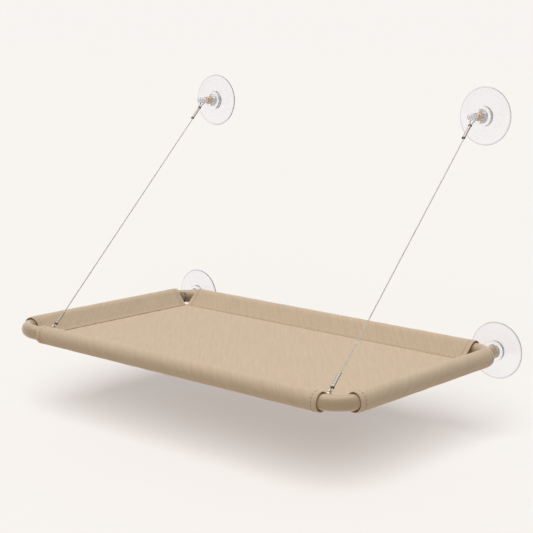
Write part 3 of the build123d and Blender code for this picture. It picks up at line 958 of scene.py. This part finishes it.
class HAMMOCK_OT_panel(bpy.types.Operator):
    """The sunk canvas panel that the cat lies on"""

    bl_idname = "hammock.panel"
    bl_label = "Sleeping panel"

    def execute(self, context):
        sizes = context.scene.hammock_sizes
        half = np.array([HALF_WIDTH, HALF_DEPTH]) - PANEL_INSET
        # Points stand 2 mm apart near the edges, and 5 mm further in.
        x, y = (spread_out(np.arange(0, 30.0, 2.0), 2 * size, 5.0) - size for size in half)
        flat_x, flat_y = self.rounded(*np.meshgrid(x, y, indexing="ij"), half, 14.0)
        to_end, to_side = half[0] - np.abs(flat_x), half[1] - np.abs(flat_y)
        edge = np.minimum(to_end, to_side)
        hollow = (1 - (flat_x / half[0]) ** 2) * (1 - (flat_y / half[1]) ** 2)
        sag = -sizes.panel_sag / MM * hollow * smooth_step(edge, 4.0, 12.0)
        swell = 0.22 * ripple(flat_x, 90, 5) * ripple(flat_y, 70, 6) * smooth_step(edge, 4.0, 40.0)
        # Puckers at the seams die out towards the middle.
        pucker = np.where(to_side < to_end, ripple(flat_x, 12.0, 71), ripple(flat_y, 12.0, 72))
        fading = np.exp(-np.clip(edge - 4.5, 0, None) / 6.0) * smooth_step(edge, 4.0, 6.0)
        cloth = sizes.cloth / MM
        level = PANEL_Z - cloth / 2 + sag + swell + 0.16 * pucker * fading
        inner = np.stack([flat_x, flat_y + MIDDLE_Y, level], axis=-1)
        thickness = np.full(flat_x.shape, cloth)
        up = np.array([0.0, 0.0, 1.0])
        piece, _, _ = cloth_shell("canvas_panel", inner, thickness, inner[..., :2] * MM, up)
        piece.data.materials.append(bpy.data.materials["woven_canvas"])
        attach(piece, "frame")
        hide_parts("sleeping_panel")
        return {"FINISHED"}

    def rounded(self, x, y, half, radius):
        """Draw in the square corners of the grid to rounded ones."""
        p = np.clip((np.abs(x) - half[0] + radius) / radius, 0, 1)
        q = np.clip((np.abs(y) - half[1] + radius) / radius, 0, 1)
        p_round = p * np.sqrt(1 - q**2 / 2)
        q_round = q * np.sqrt(1 - p**2 / 2)
        return x - np.sign(x) * (p - p_round) * radius, y - np.sign(y) * (q - q_round) * radius


class HAMMOCK_OT_anchors(bpy.types.Operator):
    """Eyes and inserts in the front corners"""

    bl_idname = "hammock.anchors"
    bl_label = "Cable anchors"

    def execute(self, context):
        colours = context.scene.hammock_colours
        # Turned brass insert and stainless eye, both lightly tumbled.
        brass = grained("turned_brass", colours.brass, 0.3, 0.9, 0.04, METAL)
        bright = grained("stainless_eye", linear("#D6D4D0"), 0.24, 0.9, 0.03, METAL)
        for side in SIDES:
            dress(f"{side}_anchor_insert", brass)
            dress(f"{side}_anchor_eye", bright)
        return {"FINISHED"}


class HAMMOCK_OT_cups(bpy.types.Operator):
    """Clear suction cups"""

    bl_idname = "hammock.cups"
    bl_label = "Suction cups"

    def execute(self, context):
        colours = context.scene.hammock_colours
        # Plasticised PVC, clear: glossy and soft, index 1.53.
        pvc = clear_plastic("clear_pvc", colours.clear, 0.03, 1.53)
        # The beaded rim is tinted grey: painted shade that draws the thin grey line along its edge.
        rim = clear_plastic("clear_pvc_rim_painted_shade", linear("#D8D7DB"), 0.06, 1.53)
        for word, boss, crown, x, z in (
            ("lower", 8.0, 11.7, LOWER_CUP_X, 0),
            ("upper", 10.0, 16.0, UPPER_CUP_X, UPPER_CUP_Z),
        ):
            pattern = self.turned_shape(f"{word}_cup_pattern", self.profile(boss, crown))
            # Faces on the bead take the grey rim material, which is painted shade along the rim.
            for face in pattern.data.polygons:
                on_grey_painted_bead = face.center.xy.length > 36.0 * MM and face.center.z > 1.1 * MM
                face.material_index = int(on_grey_painted_bead)
            for side, sign in zip(SIDES, (-1, 1)):
                place = self.place(sign * x, z)
                cup = placed_copy(pattern, f"{side}_{word}_clear_cup", place)
                cup.data.materials.append(pvc)
                cup.data.materials.append(rim)
                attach(cup, f"{side}_{word}_mount")
                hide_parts(f"{side}_{word}_cup")
            drop(pattern)
        return {"FINISHED"}

    def place(self, x, z):
        """Place of something on the pane: its own Z points into the room."""
        turn = Matrix(((1, 0, 0, 0), (0, 0, -1, 0), (0, 1, 0, 0), (0, 0, 0, 1)))
        return Matrix.Translation((x * MM, 0, z * MM)) @ turn

    def turned_shape(self, name, profile):
        """A round solid drawn up from a circle: each step extrudes the last ring to the
        next (radius, height) of the profile, in millimetres. It closes at both ends."""
        radius, height = profile[0]
        piece = begin_shape(radius * MM, 128)
        bpy.ops.transform.translate(value=(0, 0, height * MM))
        for wide, high in profile[1:]:
            extrude_up(high - height, (wide / radius, wide / radius), high)
            radius, height = wide, high
        return end_shape(piece, name, 35)

    def profile(self, boss, crown):
        """Section of a cup as (radius, height over the pane), from the middle of its back
        round the rim to the middle of its crown."""
        points = [(0.4, 0.5), (12.0, 0.5), (29.2, 0.5), (30.2, 0.38), (31.0, 0.0), (36.9, 0.0)]
        points += [(37.5, 0.06), (37.88, 0.28), (38.0, 0.7), (37.9, 1.12), (37.6, 1.42)]
        points += [(37.2, 1.54), (36.8, 1.5), (36.45, 1.32), (36.1, 1.28), (34.2, 1.5)]
        points += [(33.9, 1.62), (31.0, 1.92), (25.2, 2.36)]
        points += [(24.95, 2.44), (24.7, 2.66), (24.3, 2.72), (19.6, 2.86), (19.3, 2.98)]
        points += [(16.0, 3.04), (15.1, 3.12)]
        for k in range(1, 7):
            turn = k * math.pi / 12
            points.append((15.1 - 1.6 * math.sin(turn), 4.7 - 1.58 * math.cos(turn)))
        points += [(13.5, boss - 1.0), (13.32, boss - 0.42), (12.9, boss - 0.1), (12.4, boss)]
        points += [(10.1, boss + 0.02), (9.62, boss + 0.15), (9.4, boss + 0.5)]
        points += [(8.3, crown - 1.0), (8.05, crown - 0.35), (7.6, crown - 0.06), (7.1, crown)]
        points += [(3.4, crown), (0.4, crown - 0.01)]
        return points


class HAMMOCK_OT_fasteners(bpy.types.Operator):
    """Studs, bolts, nuts, knobs and caps"""

    bl_idname = "hammock.fasteners"
    bl_label = "Fasteners"

    def execute(self, context):
        colours = context.scene.hammock_colours
        # Zinc-plated steel: bluish bright, a little cloudy.
        zinc = grained("zinc_plated_steel", linear("#F1F1F2"), 0.42, 1.0, 0.03, METAL)
        # Turned brass of the lock nuts, warm and slightly dulled by handling.
        brass = grained("lock_nut_brass", linear("#D9BC9E"), 0.45, 1.1, 0.04, METAL)
        # Clear polycarbonate: harder and glossier than the cups, index 1.585.
        hard = clear_plastic("clear_polycarbonate", colours.clear, 0.02, 1.585)
        # The knobs are tumbled matt, so they look milky. Their beige tint is painted reflection of
        # the brown canvas and elbow seen through them.
        frosted = clear_plastic("frosted_polycarbonate_painted_tint", linear("#D5CABD"), 0.4, 1.4, 0.55)
        for side in SIDES:
            dress(f"{side}_upper_stud", zinc)
            dress(f"{side}_lower_bolt", zinc)
            dress(f"{side}_lock_nut", brass)
            dress(f"{side}_upper_cap", hard)
            dress(f"{side}_lower_knob", frosted)
        return {"FINISHED"}


class HAMMOCK_PT_sidebar(bpy.types.Panel):
    """Sizes, colours and steps of the hammock"""

    bl_idname = "HAMMOCK_PT_sidebar"
    bl_label = "Window hammock"
    bl_space_type = "VIEW_3D"
    bl_region_type = "UI"
    bl_category = "Hammock"

    def draw(self, context):
        for group in (context.scene.hammock_sizes, context.scene.hammock_colours):
            box = self.layout.box()
            for name in group.bl_rna.properties.keys():
                if name not in ("rna_type", "name"):
                    box.prop(group, name)
        for step in STEPS:
            self.layout.operator(step.bl_idname)


STEPS = (
    HAMMOCK_OT_stage,
    HAMMOCK_OT_cables,
    HAMMOCK_OT_ferrules,
    HAMMOCK_OT_frame,
    HAMMOCK_OT_sleeves,
    HAMMOCK_OT_panel,
    HAMMOCK_OT_anchors,
    HAMMOCK_OT_cups,
    HAMMOCK_OT_fasteners,
)
CLASSES = (HammockSizes, HammockColours, *STEPS, HAMMOCK_PT_sidebar)


def register():
    for kind in CLASSES:
        bpy.utils.register_class(kind)
    bpy.types.Scene.hammock_sizes = PointerProperty(type=HammockSizes)
    bpy.types.Scene.hammock_colours = PointerProperty(type=HammockColours)


def unregister():
    del bpy.types.Scene.hammock_colours
    del bpy.types.Scene.hammock_sizes
    for kind in reversed(CLASSES):
        bpy.utils.unregister_class(kind)


def main():
    register()
    bpy.ops.hammock.stage()
    bpy.ops.hammock.cables()
    bpy.ops.hammock.ferrules()
    bpy.ops.hammock.frame()
    bpy.ops.hammock.sleeves()
    bpy.ops.hammock.panel()
    bpy.ops.hammock.anchors()
    bpy.ops.hammock.cups()
    bpy.ops.hammock.fasteners()


if __name__ == "__main__":
    main()
